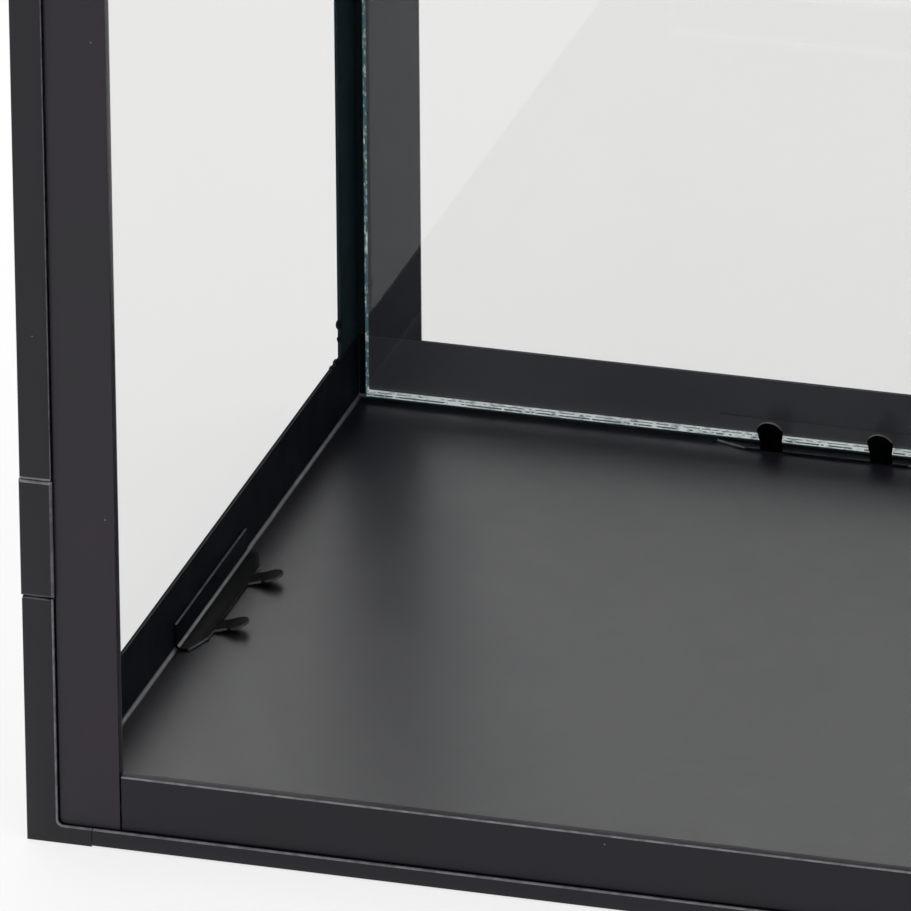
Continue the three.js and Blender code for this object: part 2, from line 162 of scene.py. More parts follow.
def new_group(name, inputs, outputs):
    """A node group with float inputs given as (name, value) and float outputs given by name."""
    tree = bpy.data.node_groups.new(name, "ShaderNodeTree")
    for title, value in inputs:
        socket = tree.interface.new_socket(title, in_out="INPUT", socket_type="NodeSocketFloat")
        socket.default_value = value
    for title in outputs:
        tree.interface.new_socket(title, in_out="OUTPUT", socket_type="NodeSocketFloat")
    enter = tree.nodes.new("NodeGroupInput")
    leave = tree.nodes.new("NodeGroupOutput")
    return tree, enter, leave


def math_node(tree, operation, a, b=None, c=None):
    """A Math node whose inputs are sockets or plain numbers. Returns its output socket."""
    node = tree.nodes.new("ShaderNodeMath")
    node.operation = operation
    for slot, value in enumerate((a, b, c)):
        if value is None:
            continue
        if isinstance(value, (int, float)):
            node.inputs[slot].default_value = value
        else:
            tree.links.new(value, node.inputs[slot])
    return node.outputs[0]


def remap(tree, value, low, high, out_low=0.0, out_high=1.0):
    node = tree.nodes.new("ShaderNodeMapRange")
    tree.links.new(value, node.inputs["Value"])
    limits = {"From Min": low, "From Max": high, "To Min": out_low, "To Max": out_high}
    for title, number in limits.items():
        node.inputs[title].default_value = number
    return node.outputs["Result"]


def noise(tree, vector, scale, detail=2.0, rough=0.5):
    node = tree.nodes.new("ShaderNodeTexNoise")
    tree.links.new(vector, node.inputs["Vector"])
    if isinstance(scale, (int, float)):
        node.inputs["Scale"].default_value = scale
    else:
        tree.links.new(scale, node.inputs["Scale"])
    node.inputs["Detail"].default_value = detail
    node.inputs["Roughness"].default_value = rough
    return node.outputs["Fac"]


def object_coordinates(tree):
    return tree.nodes.new("ShaderNodeTexCoord").outputs["Object"]


print("node helpers: math_node, remap, noise, object_coordinates")

# %% [markdown]
# Three effects are shared by the finishes and live in node groups: the orange-peel grain of
# powder coat, a sparse scatter of dust specks, and slow cloudy variation for colour and gloss.
# A group only gives out masks and heights. The shader stays in each material.

# %% Shared effects


def grain_group():
    """Orange peel: a fine height with a slower swell under it."""
    tree, enter, leave = new_group("powder_grain", [("Scale", 1300.0)], ["Height", "Fleck"])
    where = object_coordinates(tree)
    fine = noise(tree, where, enter.outputs["Scale"], 2.0, 0.55)
    swell = noise(tree, where, 210.0, 1.0)
    tree.links.new(math_node(tree, "MULTIPLY_ADD", swell, 0.6, fine), leave.inputs["Height"])
    tree.links.new(remap(tree, fine, 0.35, 0.7), leave.inputs["Fleck"])
    return tree


def speck_group():
    """Sparse dust: a small round spot in a few of the cells of a Voronoi pattern."""
    tree, enter, leave = new_group("dust_specks", [("Spacing", 120.0), ("Size", 0.03), ("Share", 0.5)],
                                   ["Mask"])
    cells = tree.nodes.new("ShaderNodeTexVoronoi")
    tree.links.new(object_coordinates(tree), cells.inputs["Vector"])
    tree.links.new(enter.outputs["Spacing"], cells.inputs["Scale"])
    spot = math_node(tree, "LESS_THAN", cells.outputs["Distance"], enter.outputs["Size"])
    split = tree.nodes.new("ShaderNodeSeparateColor")
    tree.links.new(cells.outputs["Color"], split.inputs[0])
    chosen = math_node(tree, "LESS_THAN", split.outputs[0], enter.outputs["Share"])
    tree.links.new(math_node(tree, "MULTIPLY", spot, chosen), leave.inputs["Mask"])
    return tree


def cloud_group():
    """Slow variation from 0 to 1, for tone and gloss."""
    tree, enter, leave = new_group("cloudy", [("Scale", 9.0)], ["Tone", "Gloss"])
    where = object_coordinates(tree)
    tone = noise(tree, where, enter.outputs["Scale"], 4.0, 0.55)
    gloss = noise(tree, where, math_node(tree, "MULTIPLY", enter.outputs["Scale"], 3.7), 5.0, 0.6)
    tree.links.new(remap(tree, tone, 0.3, 0.7), leave.inputs["Tone"])
    tree.links.new(remap(tree, gloss, 0.3, 0.7), leave.inputs["Gloss"])
    return tree


GRAIN, SPECKS, CLOUDY = grain_group(), speck_group(), cloud_group()
print("shared effects:", GRAIN.name, SPECKS.name, CLOUDY.name)

# %% [markdown]
# Satin black powder coat is a very dark, slightly violet paint. Nearly all of its brightness is
# reflection, so what matters is its gloss, its grain, and the pale lines along the folds and edges,
# which are painted highlights. Each worked piece carries an attribute that says how much painted
# highlight a face has. The coat is mixed in several versions: paler and glossiest on the floor,
# which faces the light, and darker and dull inside the walls, where little light reaches: painted
# light and shade.

# %% Powder coat
# The first tone is the pale colour of painted highlights on folds and edges; the second is the colour
# of dust specks.
PAINTED_HIGHLIGHT_TONE = (0.24, 0.24, 0.255)
DUST_TONE = (0.11, 0.11, 0.115)


def shader_material(name):
    material = bpy.data.materials.new(name)
    material.use_nodes = True
    return material, material.node_tree, material.node_tree.nodes["Principled BSDF"]


def use_group(tree, group, **values):
    node = tree.nodes.new("ShaderNodeGroup")
    node.node_tree = group
    for title, value in values.items():
        node.inputs[title].default_value = value
    return node


def mix_colour(tree, factor, a, b):
    """Mixes two colours, each a socket or an (r, g, b)."""
    node = tree.nodes.new("ShaderNodeMix")
    node.data_type = "RGBA"
    tree.links.new(factor, node.inputs["Factor"])
    for title, value in ((6, a), (7, b)):
        if isinstance(value, tuple):
            node.inputs[title].default_value = (*value, 1)
        else:
            tree.links.new(value, node.inputs[title])
    return node.outputs[2]


def bump(tree, height, strength, distance):
    node = tree.nodes.new("ShaderNodeBump")
    node.inputs["Strength"].default_value = strength
    node.inputs["Distance"].default_value = distance
    tree.links.new(height, node.inputs["Height"])
    return node.outputs["Normal"]


def attribute(tree, name):
    node = tree.nodes.new("ShaderNodeAttribute")
    node.attribute_name = name
    return node.outputs["Fac"]


def powder_coat(name, tone, other, gloss, bend, grain=0.16, dusty=0.4, grain_scale=1300.0):
    """tone and other are the paint's tones, gloss its smoothest and roughest, bend its index."""
    material, tree, shader = shader_material(name)
    cloud = use_group(tree, CLOUDY, Scale=32.0)
    peel = use_group(tree, GRAIN, Scale=grain_scale)
    dust = use_group(tree, SPECKS, Spacing=140.0, Size=0.03, Share=dusty)
    patchy = remap(tree, noise(tree, object_coordinates(tree), 420.0, 3.0), 0.35, 0.6, 0.55, 1.0)
    # Faces that the attribute marks are mixed towards the pale tone, broken up by noise: painted
    # highlight.
    painted_highlight = math_node(tree, "MULTIPLY", attribute(tree, "painted_highlight"), patchy)
    paint = mix_colour(tree, cloud.outputs["Tone"], tone, other)
    paint = mix_colour(tree, painted_highlight, paint, PAINTED_HIGHLIGHT_TONE)
    paint = mix_colour(tree, dust.outputs["Mask"], paint, DUST_TONE)
    tree.links.new(paint, shader.inputs["Base Color"])
    tree.links.new(remap(tree, cloud.outputs["Gloss"], 0.0, 1.0, *gloss), shader.inputs["Roughness"])
    tree.links.new(bump(tree, peel.outputs["Height"], grain, 0.05 * MM), shader.inputs["Normal"])
    shader.inputs["IOR"].default_value = bend
    return material


print("powder coat: rubbed tone", PAINTED_HIGHLIGHT_TONE, "and dust tone", DUST_TONE)

# %% [markdown]
# The same paint looks different from part to part, because each part catches a different share of
# light, and its tone and gloss are set part by part to match: lit and shaded copies of one paint,
# painted light and shade. These are its versions, from the rim round the door to the bent tabs of
# the clips.

# %% Coats
RIM_COAT = powder_coat("satin_black_rim_coat", (0.0042, 0.0038, 0.0062), (0.0060, 0.0044, 0.0096),
                       (0.38, 0.46), 1.40)
STILE_COAT = powder_coat("satin_black_stile_coat", (0.0072, 0.0058, 0.0096), (0.0104, 0.0052, 0.0150),
                         (0.38, 0.46), 1.425)
DOOR_RAIL_COAT = powder_coat("satin_black_rail_coat", (0.0042, 0.0037, 0.0064),
                             (0.0050, 0.0038, 0.0102), (0.38, 0.46), 1.365)
FRAME_COAT = powder_coat("satin_black_coat", (0.0050, 0.0046, 0.0060), (0.0064, 0.0054, 0.0092),
                         (0.36, 0.46), 1.43)
# The floor's copy is paler, as the floor faces the light: painted light.
FLOOR_COAT = powder_coat("floor_coat", (0.0110, 0.0112, 0.0180), (0.0130, 0.0130, 0.0205),
                         (0.34, 0.40), 1.88, grain=0.14, dusty=0.8)
# Inside the walls the copies are darker and duller: painted shade.
SHADED_INSIDE_COAT = powder_coat("shaded_inside_coat", (0.0032, 0.0056, 0.0092), (0.0046, 0.0080, 0.0124),
                          (0.50, 0.60), 1.14, dusty=0.2)
SHADED_POST_COAT = powder_coat("shaded_post_coat", (0.0090, 0.0225, 0.0290), (0.0115, 0.0260, 0.0340),
                        (0.50, 0.60), 1.18, dusty=0.2)
# A paler copy for the faces seen through the back pane: painted light.
LIT_REAR_COAT = powder_coat("lit_rear_coat", (0.0320, 0.0350, 0.0430), (0.0440, 0.0440, 0.0540),
                        (0.45, 0.55), 1.40)
REAR_POST_COAT = powder_coat("rear_post_coat", (0.0120, 0.0165, 0.0210), (0.0150, 0.0185, 0.0240),
                             (0.45, 0.55), 1.30)
# A darker copy for the clip shelves, which lie in the wall's shade: painted shade.
SHADED_SHELF_COAT = powder_coat("shaded_clip_shelf_coat", (0.0044, 0.0050, 0.0060), (0.0062, 0.0068, 0.0080),
                         (0.38, 0.46), 1.22, grain=0.3, dusty=0.5, grain_scale=2400.0)
CLIP_COAT = powder_coat("blackened_clip_steel", (0.0026, 0.0026, 0.0030), (0.0040, 0.0040, 0.0046),
                        (0.45, 0.60), 1.20, grain=0.3, dusty=0.8, grain_scale=2400.0)
TAB_COAT = powder_coat("black_tab_steel", (0.0009, 0.0010, 0.0011), (0.0016, 0.0016, 0.0018),
                       (0.50, 0.65), 1.05, grain=0.3, dusty=0.3, grain_scale=2400.0)
print("powder coats:", [m.name for m in bpy.data.materials if "coat" in m.name])

# %% [markdown]
# The panes are float glass: clear with a trace of green. The back pane reflects, which is what
# makes it visible, and it is given a faint glow as emission: painted light. The panes of the door
# and the right side are clear coated glass with a weak reflection, so that they don't veil what
# stands behind them. The cut edges are ground: rough, chipped and bright, because light that
# enters the sheet leaves by its edges. That glow is given to the ground faces as emission.
# An attribute runs from 0 at the rim of the ground band to 1 at its inner line. On the long edges
# the band next to the rim is painted nearly black, a painted shade, and above it the wheel left
# two pale tracks with a broken dark line between them.

# %% Glass


def clear_glass(name, tint, bend, painted_glow=0.0, roughness=0.0):
    """The emission strength it takes is a faint glow given to the pane: painted light that brightens
    it.
    """
    material, tree, shader = shader_material(name)
    film = use_group(tree, CLOUDY, Scale=14.0)
    tree.links.new(mix_colour(tree, film.outputs["Tone"], tint, tuple(0.992 * c for c in tint)),
                   shader.inputs["Base Color"])
    tree.links.new(remap(tree, film.outputs["Gloss"], 0.0, 1.0, roughness, roughness + 0.004),
                   shader.inputs["Roughness"])
    shader.inputs["IOR"].default_value = bend
    shader.inputs["Transmission Weight"].default_value = 1.0
    shader.inputs["Emission Color"].default_value = (0.95, 0.99, 1.12, 1)
    shader.inputs["Emission Strength"].default_value = painted_glow
    return material


def ground_glass(name):
    material, tree, shader = shader_material(name)
    where = object_coordinates(tree)
    across = attribute(tree, "across")
    long_edge = attribute(tree, "long_edge")
    rough = noise(tree, where, 520.0, 4.0, 0.65)
    chipped = remap(tree, rough, 0.50, 0.68)
    tracked = remap(tree, rough, 0.30, 0.52, 0.25, 1.0)
    bright = tree.nodes.new("ShaderNodeMix")
    tree.links.new(long_edge, bright.inputs["Factor"])
    tree.links.new(chipped, bright.inputs["A"])
    tree.links.new(tracked, bright.inputs["B"])
    centre = math_node(tree, "COMPARE", across, 0.62, 0.11)
    dashes = math_node(tree, "GREATER_THAN", noise(tree, where, 640.0, 1.0), 0.45)
    track = math_node(tree, "MULTIPLY", math_node(tree, "MULTIPLY", centre, dashes), long_edge)
    lit = mix_colour(tree, bright.outputs["Result"], (0.05, 0.13, 0.15), (0.74, 0.80, 0.79))
    lit = mix_colour(tree, track, lit, (0.09, 0.10, 0.10))
    # Next to the rim of the long edges the band is painted nearly black: painted shade.
    foot = math_node(tree, "MULTIPLY", math_node(tree, "LESS_THAN", across, 0.32), long_edge)
    lit = mix_colour(tree, foot, lit, (0.003, 0.012, 0.016))
    tree.links.new(lit, shader.inputs["Base Color"])
    tree.links.new(lit, shader.inputs["Emission Color"])
    shader.inputs["Emission Strength"].default_value = 0.5
    tree.links.new(remap(tree, chipped, 0.0, 1.0, 0.55, 0.75), shader.inputs["Roughness"])
    return material


# The back pane's faint glow is painted light.
PANE_GLASS = clear_glass("float_glass", (0.990, 0.993, 0.987), 1.43, painted_glow=0.0055)
DOOR_GLASS = clear_glass("clear_coated_glass", (0.808, 0.808, 0.804), 1.03)
GROUND_EDGE = ground_glass("ground_glass_edge")
print("glass:", PANE_GLASS.name, DOOR_GLASS.name, GROUND_EDGE.name)

# %% [markdown]
# The small bare-metal parts: pins, nuts, screw and strike plate are plain steel with fine turning
# scratches, and the magnet is a dull grey ferrite block.

# %% Small metals


def plain_steel(name, tone, rough):
    material, tree, shader = shader_material(name)
    stretched = tree.nodes.new("ShaderNodeMapping")
    stretched.inputs["Scale"].default_value = (1, 1, 0.06)
    tree.links.new(object_coordinates(tree), stretched.inputs["Vector"])
    lines = noise(tree, stretched.outputs["Vector"], 2600.0, 3.0)
    shade = tuple(0.75 * c for c in tone)
    tree.links.new(mix_colour(tree, lines, shade, tone), shader.inputs["Base Color"])
    tree.links.new(remap(tree, lines, 0.3, 0.7, rough - 0.08, rough + 0.1), shader.inputs["Roughness"])
    tree.links.new(bump(tree, lines, 0.15, 0.02 * MM), shader.inputs["Normal"])
    shader.inputs["Metallic"].default_value = 1.0
    return material


def ferrite(name):
    material, tree, shader = shader_material(name)
    speckle = noise(tree, object_coordinates(tree), 1800.0, 4.0, 0.7)
    tree.links.new(mix_colour(tree, speckle, (0.012, 0.012, 0.013), (0.045, 0.045, 0.048)),
                   shader.inputs["Base Color"])
    tree.links.new(remap(tree, speckle, 0.2, 0.8, 0.6, 0.8), shader.inputs["Roughness"])
    tree.links.new(bump(tree, speckle, 0.3, 0.05 * MM), shader.inputs["Normal"])
    return material


PLAIN_STEEL = plain_steel("plain_steel", (0.56, 0.57, 0.59), 0.32)
FERRITE = ferrite("ferrite_magnet")


def pale_floor():
    material, tree, shader = shader_material("pale_studio_floor")
    cloud = use_group(tree, CLOUDY, Scale=0.6)
    acrylic = mix_colour(tree, cloud.outputs["Tone"], (0.25, 0.25, 0.25), (0.258, 0.258, 0.255))
    tree.links.new(acrylic, shader.inputs["Base Color"])
    shader.inputs["Emission Color"].default_value = (1, 1, 1, 1)
    shader.inputs["Emission Strength"].default_value = 0.728
    shader.inputs["Roughness"].default_value = 0.8
    shader.inputs["Specular IOR Level"].default_value = 0.1
    return material


ground.data.materials.append(pale_floor())
print("small metals:", PLAIN_STEEL.name, FERRITE.name)

# %% [markdown]
# Every folded piece is worked the same way. A copy of its solid has its triangles welded and
# joined back into whole faces, and then its sharp edges are rounded by a bevel. Edges to work on
# are selected in code, by the place of their two ends.

# %% Working a copy of a solid
SMOOTH_UNDER = math.radians(35)
WELD = 0.002 * MM


def trace_of(node, name):
    """A new piece with the node's shape, welded, in whole faces, and with no normals of its own."""
    piece = bpy.data.objects.new(name, nodes[node].data.copy())
    bpy.context.scene.collection.objects.link(piece)
    piece.data.materials.clear()
    work_on(piece)
    bpy.ops.mesh.customdata_custom_splitnormals_clear()
    bpy.ops.object.mode_set(mode="EDIT")
    bpy.ops.mesh.select_all(action="SELECT")
    bpy.ops.mesh.remove_doubles(threshold=WELD)
    bpy.ops.mesh.dissolve_limited(angle_limit=math.radians(0.5))
    bpy.ops.mesh.select_all(action="DESELECT")
    bpy.ops.object.mode_set(mode="OBJECT")
    return piece


def select_edges(piece, *tests):
    """Goes to edit mode with the edges selected whose two ends both pass one of the tests."""
    bpy.ops.object.mode_set(mode="OBJECT")
    points = piece.data.vertices
    for polygon in piece.data.polygons:
        polygon.select = False
    for point in points:
        point.select = False
    for edge in piece.data.edges:
        ends = [points[i].co for i in edge.vertices]
        edge.select = any(test(ends[0]) and test(ends[1]) for test in tests)
        if edge.select:
            points[edge.vertices[0]].select = True
            points[edge.vertices[1]].select = True
    bpy.context.tool_settings.mesh_select_mode = (False, True, False)
    bpy.ops.object.mode_set(mode="EDIT")


def near(a, b, within=0.02 * MM):
    return abs(a - b) < within


print("working a copy: welded within", WELD / MM, "mm")

# %% [markdown]
# A bevel modifier rounds the sharp edges. Its material index tells which faces it made, and a
# rule for each piece says how much painted highlight those get. The faces are then told apart by
# place and direction, and each gets its paint. Last, the piece is given its body, and the solid
# it stands for is hidden.

# %% Rounding, painting and handing over


def evenly(amount):
    return lambda centre, normal: amount


def round_edges(piece, radius, highlight_rule=evenly(0.0), segments=3, sharper_than=40):
    """Bevels the sharp edges. The given rule of (centre, normal) tells a bevel face's painted
    highlight.
    """
    work_on(piece)
    for polygon in piece.data.polygons:
        polygon.material_index = 0
    piece.data.materials.append(None)
    piece.data.materials.append(None)
    rounding = piece.modifiers.new("rounded_edges", "BEVEL")
    rounding.width = radius
    rounding.segments = segments
    rounding.limit_method = "ANGLE"
    rounding.angle_limit = math.radians(sharper_than)
    rounding.material = 1
    bpy.ops.object.modifier_apply(modifier=rounding.name)
    mark = piece.data.attributes.new("painted_highlight", "FLOAT", "FACE")
    for polygon in piece.data.polygons:
        if polygon.material_index == 1:
            mark.data[polygon.index].value = highlight_rule(polygon.center, polygon.normal)
        polygon.material_index = 0
    piece.data.materials.clear()
    bpy.ops.object.shade_smooth_by_angle(angle=SMOOTH_UNDER)


def set_painted_highlights(piece, highlight_rule):
    """Says anew how much painted highlight each face gets, by the given rule of (centre, normal)."""
    mark = piece.data.attributes["painted_highlight"]
    for polygon in piece.data.polygons:
        mark.data[polygon.index].value = highlight_rule(polygon.center, polygon.normal)


def paint_faces(piece, *finishes):
    """finishes are (material, test(centre, normal)). The first whose test passes paints the face."""
    for material, test in finishes:
        piece.data.materials.append(material)
    for polygon in piece.data.polygons:
        passed = [i for i, (_, test) in enumerate(finishes) if test(polygon.center, polygon.normal)]
        polygon.material_index = passed[0]


def always(centre, normal):
    return True


def belongs(piece, slot, body, *stands_for):
    """Gives a piece its body and hides the nodes it stands for. The slot argument is not used."""
    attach(piece, body)
    if stands_for:
        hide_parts(*stands_for)


bodies = frame["record"]["behaviour"]["bodies"]
body_of = {node: body for body, members in bodies.items() for node in members}
print("bodies:", sorted(set(body_of.values())))

# %% [markdown]
# The rim round the door has its inner edge, the one by the door, well rounded and painted with a
# thin pale line of highlight, which turns the corner at the foot in a small fillet. The ends of the
# jamb and of the hinge lug between them get painted highlights too: most at the upper joint, where
# a strip of the jamb is cut off its face to carry the pale tone.

# %% Rim and hinge lugs
RIM_ROUND = 0.75 * MM
JOINT_ROUND = 0.55 * MM
JOINT_STRIP = 0.90 * MM
CORNER_FILLET = 1.3 * MM
sill_low, sill_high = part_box("front_sill")
head_low, head_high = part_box("front_head")
catch_low, catch_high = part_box("front_catch_jamb")
lug_low, lug_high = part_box("lower_hinge_lug")
top_lug_low, top_lug_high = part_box("upper_hinge_lug")
JAMB_WIDE = 7.1 * MM
LINE_HIGHLIGHT = 0.72
JOINT_STRIP_HIGHLIGHT = 0.6
UPPER_JOINT_HIGHLIGHT = 1.0
LOWER_JOINT_HIGHLIGHT = 0.3
LUG_JOINT_HIGHLIGHT = 0.8
LUG_LINE_HIGHLIGHT = 0.38
BY_JOINT = 0.7 * MM
front = jamb_low.y
inner_left = jamb_low.x + JAMB_WIDE
inner_right = catch_high.x - JAMB_WIDE
joint_levels = (lug_low.z, lug_high.z, top_lug_low.z, top_lug_high.z)


def by_joint(level):
    return any(near(level, joint, BY_JOINT) for joint in joint_levels)


# The pale faces set here are painted highlights: the line by the door, the joints, and the strip above
# the lower lug.
def rim_highlight(centre, normal):
    if centre.y > front + 1.2 * MM or normal.y > 0.1:
        return 0.0
    if lug_high.z < centre.z < lug_high.z + JOINT_STRIP and centre.x < inner_left:
        return JOINT_STRIP_HIGHLIGHT
    if by_joint(centre.z) and abs(normal.z) > 0.25:
        return LOWER_JOINT_HIGHLIGHT if near(centre.z, lug_low.z, BY_JOINT) else UPPER_JOINT_HIGHLIGHT
    beside = centre.x > inner_left - RIM_ROUND and centre.x < inner_right + RIM_ROUND
    turned = abs(normal.x) > 0.5 or abs(normal.z) > 0.5
    return LINE_HIGHLIGHT if beside and turned and abs(normal.y) > 0.02 else 0.0


def rim_piece(node):
    piece = trace_of(node, "rim_" + node)
    work_on(piece)
    for side in (inner_left, inner_right):
        for level in (sill_high.z, head_low.z):
            select_edges(piece, lambda p: near(p.x, side) and near(p.z, level))
            bpy.ops.mesh.bevel(offset=CORNER_FILLET, segments=6, affect="EDGES")
    along_door = CORNER_FILLET + 0.1 * MM

    def by_door(p):
        in_width = inner_left - 0.1 * MM < p.x < inner_right + 0.1 * MM
        in_height = sill_high.z - 0.1 * MM < p.z < head_low.z + 0.1 * MM
        return near(p.y, front) and in_width and in_height

    select_edges(
        piece,
        lambda p: by_door(p) and near(p.x, inner_left, along_door),
        lambda p: by_door(p) and near(p.x, inner_right, along_door),
        lambda p: by_door(p) and (near(p.z, sill_high.z) or near(p.z, head_low.z)),
    )
    bpy.ops.mesh.bevel(offset=RIM_ROUND, segments=5, affect="EDGES")
    select_edges(piece, lambda p: near(p.y, front) and by_joint(p.z))
    bpy.ops.mesh.bevel(offset=JOINT_ROUND, segments=3, affect="EDGES")
    if node == "front_hinge_jamb":
        bpy.ops.mesh.select_all(action="SELECT")
        bpy.ops.mesh.bisect(plane_co=(0, 0, lug_high.z + JOINT_STRIP), plane_no=(0, 0, 1))
    bpy.ops.object.mode_set(mode="OBJECT")
    round_edges(piece, 0.08 * MM, segments=2, sharper_than=50)
    set_painted_highlights(piece, rim_highlight)
    return piece


for node in ("front_hinge_jamb", "front_catch_jamb", "front_sill", "front_head"):
    piece = rim_piece(node)
    paint_faces(piece, (DOOR_RAIL_COAT if node in ("front_sill", "front_head") else RIM_COAT, always))
    belongs(piece, "steel", "housing", node)


# The lug's joints and its inner edge get painted highlights.
def lug_highlight(centre, normal):
    if normal.y > 0.1 or centre.y > jamb_low.y + 1.5 * MM:
        return 0.0
    if by_joint(centre.z) and abs(normal.z) > 0.25:
        return LOWER_JOINT_HIGHLIGHT if near(centre.z, lug_low.z, BY_JOINT) else LUG_JOINT_HIGHLIGHT
    return LUG_LINE_HIGHLIGHT if near(centre.x, lug_high.x, 1.2 * MM) and normal.x > 0.3 else 0.0


for node in ("lower_hinge_lug", "upper_hinge_lug"):
    piece = trace_of(node, "rim_" + node)
    low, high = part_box(node)
    select_edges(piece, lambda p: near(p.y, low.y))
    bpy.ops.mesh.bevel(offset=JOINT_ROUND, segments=3, affect="EDGES")
    bpy.ops.object.mode_set(mode="OBJECT")
    round_edges(piece, 0.05 * MM, segments=1, sharper_than=50)
    set_painted_highlights(piece, lug_highlight)
    paint_faces(piece, (RIM_COAT, always))
    belongs(piece, "steel", "door", node)
print("rim: rubbed line at", round(inner_left / MM, 2), "mm, joints at",
      [round(level / MM, 1) for level in joint_levels])

# %% [markdown]
# The door's frame is four flat strips. The top edges of its rails carry two fine lines of painted
# highlight, front and back, where light from above falls. Its stiles have none: their edges face
# sideways. The seams beside and below it are drawn in to a hair, as thick paint leaves them.

# %% Door frame
SEAM = 0.28 * MM


def stretch(piece, test, move):
    """Moves the points that pass the test, to draw one end of a piece out."""
    work_on(piece)
    for polygon in piece.data.polygons:
        polygon.select = False
    for edge in piece.data.edges:
        edge.select = False
    for point in piece.data.vertices:
        point.select = test(point.co)
    bpy.context.tool_settings.mesh_select_mode = (True, False, False)
    bpy.ops.object.mode_set(mode="EDIT")
    bpy.ops.transform.translate(value=move)
    bpy.ops.object.mode_set(mode="OBJECT")


for node in ("door_left_stile", "door_right_stile", "door_bottom_rail", "door_top_rail"):
    piece = trace_of(node, "strip_" + node)
    low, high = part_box(node)
    rail = "rail" in node
    if node == "door_left_stile":
        stretch(piece, lambda p: near(p.x, low.x, 1.6 * MM) and p.x < low.x + 1.6 * MM, (-SEAM, 0, 0))
    if node != "door_top_rail":
        stretch(piece, lambda p: p.z < low.z + 1.6 * MM, (0, 0, -SEAM))

    # The top edges of the rails get a painted highlight.
    def rail_top_highlight(centre, normal):
        return 0.8 if rail and near(centre.z, high.z, 0.5 * MM) and normal.z < 0.97 else 0.0

    round_edges(piece, (0.34 if rail else 0.15) * MM, rail_top_highlight)
    paint_faces(piece, (DOOR_RAIL_COAT if rail else STILE_COAT, always))
    belongs(piece, "steel", "door", node)
print("door frame: 4 strips")

# %% [markdown]
# Rails and posts of the three walls. Inside the lantern their faces take darker, duller copies of
# the coat: painted shade, where little light reaches. Outside they look like the rim. The solids
# stand a hair apart, but real posts are welded to the pans and to each other, so their ends are
# drawn out to touch.

# %% Wall rails and posts
GAP = 0.3 * MM
middle = (cad_low + cad_high) / 2


def faces_out(centre, normal):
    """True where a face looks away from the middle of the lantern."""
    return (centre.x - middle.x) * normal.x + (centre.y - middle.y) * normal.y > 20 * MM


wall_sides = ("left", "right", "rear")
wall_nodes = [f"{side}_{level}_rail" for side in wall_sides for level in ("bottom", "top")]
wall_nodes += ["left_front_post", "left_rear_post", "right_front_post", "right_rear_post",
               "rear_left_post", "rear_right_post"]
for node in wall_nodes:
    piece = trace_of(node, "wall_" + node)
    low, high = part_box(node)
    if "post" in node:
        stretch(piece, lambda p: near(p.z, low.z), (0, 0, -GAP))
        stretch(piece, lambda p: near(p.z, high.z), (0, 0, GAP))
    if node == "rear_left_post":
        stretch(piece, lambda p: near(p.x, low.x), (-GAP, 0, 0))
    if node == "rear_right_post":
        stretch(piece, lambda p: near(p.x, high.x), (GAP, 0, 0))
    round_edges(piece, (0.3 if "rail" in node else 0.05) * MM, segments=3 if "rail" in node else 1)
    # Faces turned inwards take a darker, duller copy of the coat: painted shade.
    inner = REAR_POST_COAT if node.startswith("rear") else SHADED_POST_COAT
    paint_faces(piece, (FRAME_COAT, faces_out), (inner, always))
    belongs(piece, "steel", "housing", node)
print("walls:", len(wall_nodes), "rails and posts")

# %% [markdown]
# Where the left rear post meets the pan the coat ran and dried in small lumps. They are blobs that
# are squashed, roughened with a fixed seed and joined to one piece.

# %% Paint lumps
pan_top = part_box("base_pan")[1].z
post_low, post_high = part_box("left_rear_post")
edge_x = post_high.x - 0.4 * MM
lumps = (
    ((edge_x, post_low.y - 0.2 * MM, post_low.z + 8.2 * MM), (0.7, 0.55, 1.3)),
    ((edge_x, post_low.y - 0.1 * MM, post_low.z + 4.4 * MM), (0.55, 0.4, 0.8)),
    ((edge_x, post_low.y - 3.0 * MM, pan_top + 0.1 * MM), (0.55, 1.5, 0.45)),
    ((edge_x, post_low.y - 6.5 * MM, pan_top), (0.5, 0.9, 0.35)),
)
blobs = []
for place, size in lumps:
    deselect()
    bpy.ops.mesh.primitive_ico_sphere_add(subdivisions=3, radius=MM, location=place, scale=size)
    bpy.ops.object.transform_apply(location=True, rotation=True, scale=True)
    bpy.ops.object.mode_set(mode="EDIT")
    bpy.ops.transform.vertex_random(offset=0.12 * MM, uniform=0.4, normal=0.3, seed=len(blobs) + 3)
    bpy.ops.object.mode_set(mode="OBJECT")
    bpy.ops.object.shade_smooth()
    blobs.append(bpy.context.object)
for blob in blobs:
    blob.select_set(True)
bpy.ops.object.join()
paint_lumps = bpy.context.object
paint_lumps.name = "paint_lumps"
# The lumps take the darker inside copy of the coat: painted shade.
paint_faces(paint_lumps, (SHADED_INSIDE_COAT, always))
belongs(paint_lumps, "steel", "housing")
print("paint lumps:", len(lumps), "in", len(paint_lumps.data.polygons), "faces")

# %% [markdown]
# The floor and the roof are pans: one sheet with three sides turned over. Sheet can't be folded
# to a sharp corner, so the fold between the flat and each side is a real radius of over a
# millimetre, and a soft pale line is painted along it as highlight. Each fold is bevelled on both
# faces of the sheet.

# %% Floor pan and roof pan
glass_low, glass_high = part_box("rear_pane")
SHEET = 0.8 * MM
PAN_FOLD = 1.05 * MM
PAN_FOLD_HIGHLIGHT = 0.5
NEARLY_SQUARE = 0.97


